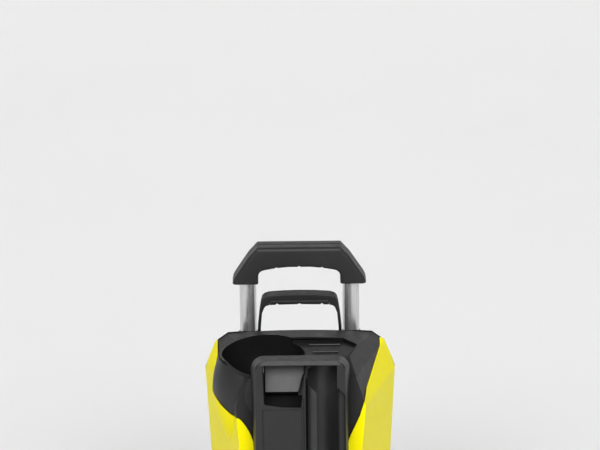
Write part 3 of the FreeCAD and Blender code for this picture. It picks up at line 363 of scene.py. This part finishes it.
# the bottle's well is in painted shade all the way down
WELL_LOW, WELL_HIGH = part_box("bottle_well")
WELL_AXIS = Vector(((WELL_LOW[0] + WELL_HIGH[0]) / 2, (WELL_LOW[1] + WELL_HIGH[1]) / 2))
WELL_REACH = (WELL_HIGH[0] - WELL_LOW[0]) / 2 + 3 * MM

# the two ribs of the nozzle tray get a painted highlight on their tops
RIB_LEVEL = 434.6 * MM
RIBS_ACROSS = (14 * MM, 67 * MM)
RIBS_DEEP = (30 * MM, 67 * MM)

# the pad of the gun pocket reaches the pocket's left wall; the pad is painted light, over a slot in painted
# shade
PAD_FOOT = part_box("gun_pocket_liner")[1][2] - 47 * MM
PAD_LEFT = -51 * MM
PAD_LEFT_SPREAD = 1.5 * MM
PAD_WIDER_BY = 5.5 * MM
PAD_ROUNDING = 12 * MM


def painted_shade_in_well(spot, normal):
    return abs(normal.z) < 0.5 and (Vector(spot[:2]) - WELL_AXIS).length < WELL_REACH


def painted_highlight_on_rib(spot, normal):
    return normal.z > 0.3 and spot.z > RIB_LEVEL and within(spot.x, RIBS_ACROSS) and within(spot.y, RIBS_DEEP)


def painted_light_on_pad(spot, normal):
    return normal.y < -0.5 and spot.z > PAD_FOOT


def make_skins():
    for node, width in EDGE_WIDTHS.items():
        softened(node, width)
    for node in GRIPS:
        melted(node)
    softened("lance_holder", 0.6 * MM, "holder_black")


def make_pocket():
    # the liner is black as painted shade, and the pad's front faces take the paler grey as painted light
    liner = softened("gun_pocket_liner", 0.7 * MM, "painted_shade_black")
    for vertex in liner.data.vertices:
        if abs(vertex.co.x - PAD_LEFT) < PAD_LEFT_SPREAD and vertex.co.z > PAD_FOOT - PAD_ROUNDING:
            vertex.co.x -= PAD_WIDER_BY
    painted(liner, "pocket_grey", painted_light_on_pad)


def make_cap():
    cover = softened("top_cover", 0.9 * MM)
    # painted shade on the inside of the well, in the cover and in the cup below
    painted(cover, "painted_shade_black", painted_shade_in_well)
    # painted highlight on the tops of the tray's ribs
    painted(cover, "pocket_grey", painted_highlight_on_rib)
    NODES["bottle_well"].data.materials[0] = MATERIALS["painted_shade_black"]


make_skins()
make_pocket()
make_cap()

# ----------------------------------------------------------------------------------------------- the set


def look_from(azimuth, elevation, distance, target, roll, lens):
    """A camera placed round a target; azimuth 0 looks along +Y and positive moves it to +X."""
    across, up = math.radians(azimuth), math.radians(elevation)
    back = Vector((math.sin(across) * math.cos(up), -math.cos(across) * math.cos(up), math.sin(up)))
    camera = bpy.data.objects.new("camera", bpy.data.cameras.new("camera"))
    bpy.context.scene.collection.objects.link(camera)
    camera.location = Vector(target) + back * distance
    turn = (-back).to_track_quat("-Z", "Y").to_matrix().to_4x4()
    spin = Matrix.Rotation(math.radians(roll), 4, "Z")
    camera.matrix_world = Matrix.Translation(camera.location) @ turn @ spin
    camera.data.lens = lens
    camera.data.sensor_width = 36.0
    camera.data.clip_end = 60.0
    bpy.context.scene.camera = camera


def floor_material():
    """Matt white paper with the slightest unevenness."""
    nodes = Nodes("studio_floor")
    tone = nodes.noise(0.8, 3.0, 0.5)
    pale = nodes.ramp(tone, "Fac", [(0.2, (0.80, 0.80, 0.80)), (0.8, (0.83, 0.83, 0.83))])
    nodes.join(pale, "Color", nodes.shader, "Base Color")
    nodes.shader.inputs["Roughness"].default_value = 0.9
    nodes.shader.inputs["Specular IOR Level"].default_value = 0.1
    return nodes.material


FLOOR_NEAR = -12.0
FLOOR_FAR = 9.0         # where the sheet starts to curve up
FLOOR_SIDE = 14.0
FLOOR_TOP = 12.0
FLOOR_BEND = 4.0
FLOOR_STEPS = 12
FLOOR_GAP = 0.5 * MM    # the sheet lies this far under the feet


def make_floor():
    """A plain sheet that runs on behind the object and curves up far away."""
    form = bmesh.new()
    profile = [(FLOOR_NEAR, 0.0), (FLOOR_FAR, 0.0)]
    for step in range(1, FLOOR_STEPS + 1):
        turn = math.radians(90.0 * step / FLOOR_STEPS)
        profile.append((FLOOR_FAR + FLOOR_BEND * math.sin(turn), FLOOR_BEND - FLOOR_BEND * math.cos(turn)))
    profile.append((FLOOR_FAR + FLOOR_BEND, FLOOR_TOP))
    rows = [[form.verts.new((x, y, z - FLOOR_GAP)) for x in (-FLOOR_SIDE, FLOOR_SIDE)] for y, z in profile]
    for near, far in zip(rows, rows[1:]):
        form.faces.new((near[0], near[1], far[1], far[0])).smooth = True
    mesh = bpy.data.meshes.new("floor")
    form.to_mesh(mesh)
    mesh.materials.append(floor_material())
    floor = bpy.data.objects.new("floor", mesh)
    bpy.context.scene.collection.objects.link(floor)


LIGHTS_AIM = Vector((0.0, 0.0, 0.4))


def aimed(light, name, place):
    """Puts a light in the scene, turned from its place to the middle of the object."""
    lamp = bpy.data.objects.new(name, light)
    bpy.context.scene.collection.objects.link(lamp)
    lamp.location = place
    lamp.rotation_mode = "QUATERNION"
    lamp.rotation_quaternion = (LIGHTS_AIM - Vector(place)).to_track_quat("-Z", "Y")


def softbox(name, place, size, power):
    """A large rectangular lamp, for the soft highlights."""
    data = bpy.data.lights.new(name, "AREA")
    data.shape = "RECTANGLE"
    data.size, data.size_y = size
    data.energy = power
    aimed(data, name, place)


def wide_light(name, place, strength, spread):
    """A distant light, as even over the floor as a bank of large diffusers."""
    data = bpy.data.lights.new(name, "SUN")
    data.energy = strength
    data.angle = math.radians(spread)
    aimed(data, name, place)


def make_lights():
    wide_light("left_bank", (-2.4, -4.2, 4.4), 1.80, 36.0)
    wide_light("right_bank", (2.4, -4.2, 4.4), 1.80, 36.0)
    softbox("high_front", (0.0, -1.6, 2.5), (1.2, 0.7), 12.0)


def make_world():
    """A faint white surround, so that no side is left black."""
    world = bpy.data.worlds.new("studio")
    world.use_nodes = True
    background = world.node_tree.nodes["Background"]
    background.inputs["Color"].default_value = (1.0, 1.0, 1.0, 1.0)
    background.inputs["Strength"].default_value = 0.14
    bpy.context.scene.world = world


look_from(azimuth=0.0, elevation=20.0, distance=6.003, target=(0.0022, 0.05, 0.650), roll=-0.6, lens=222.0)
make_floor()
make_lights()
make_world()
bpy.context.scene.view_settings.view_transform = "Standard"
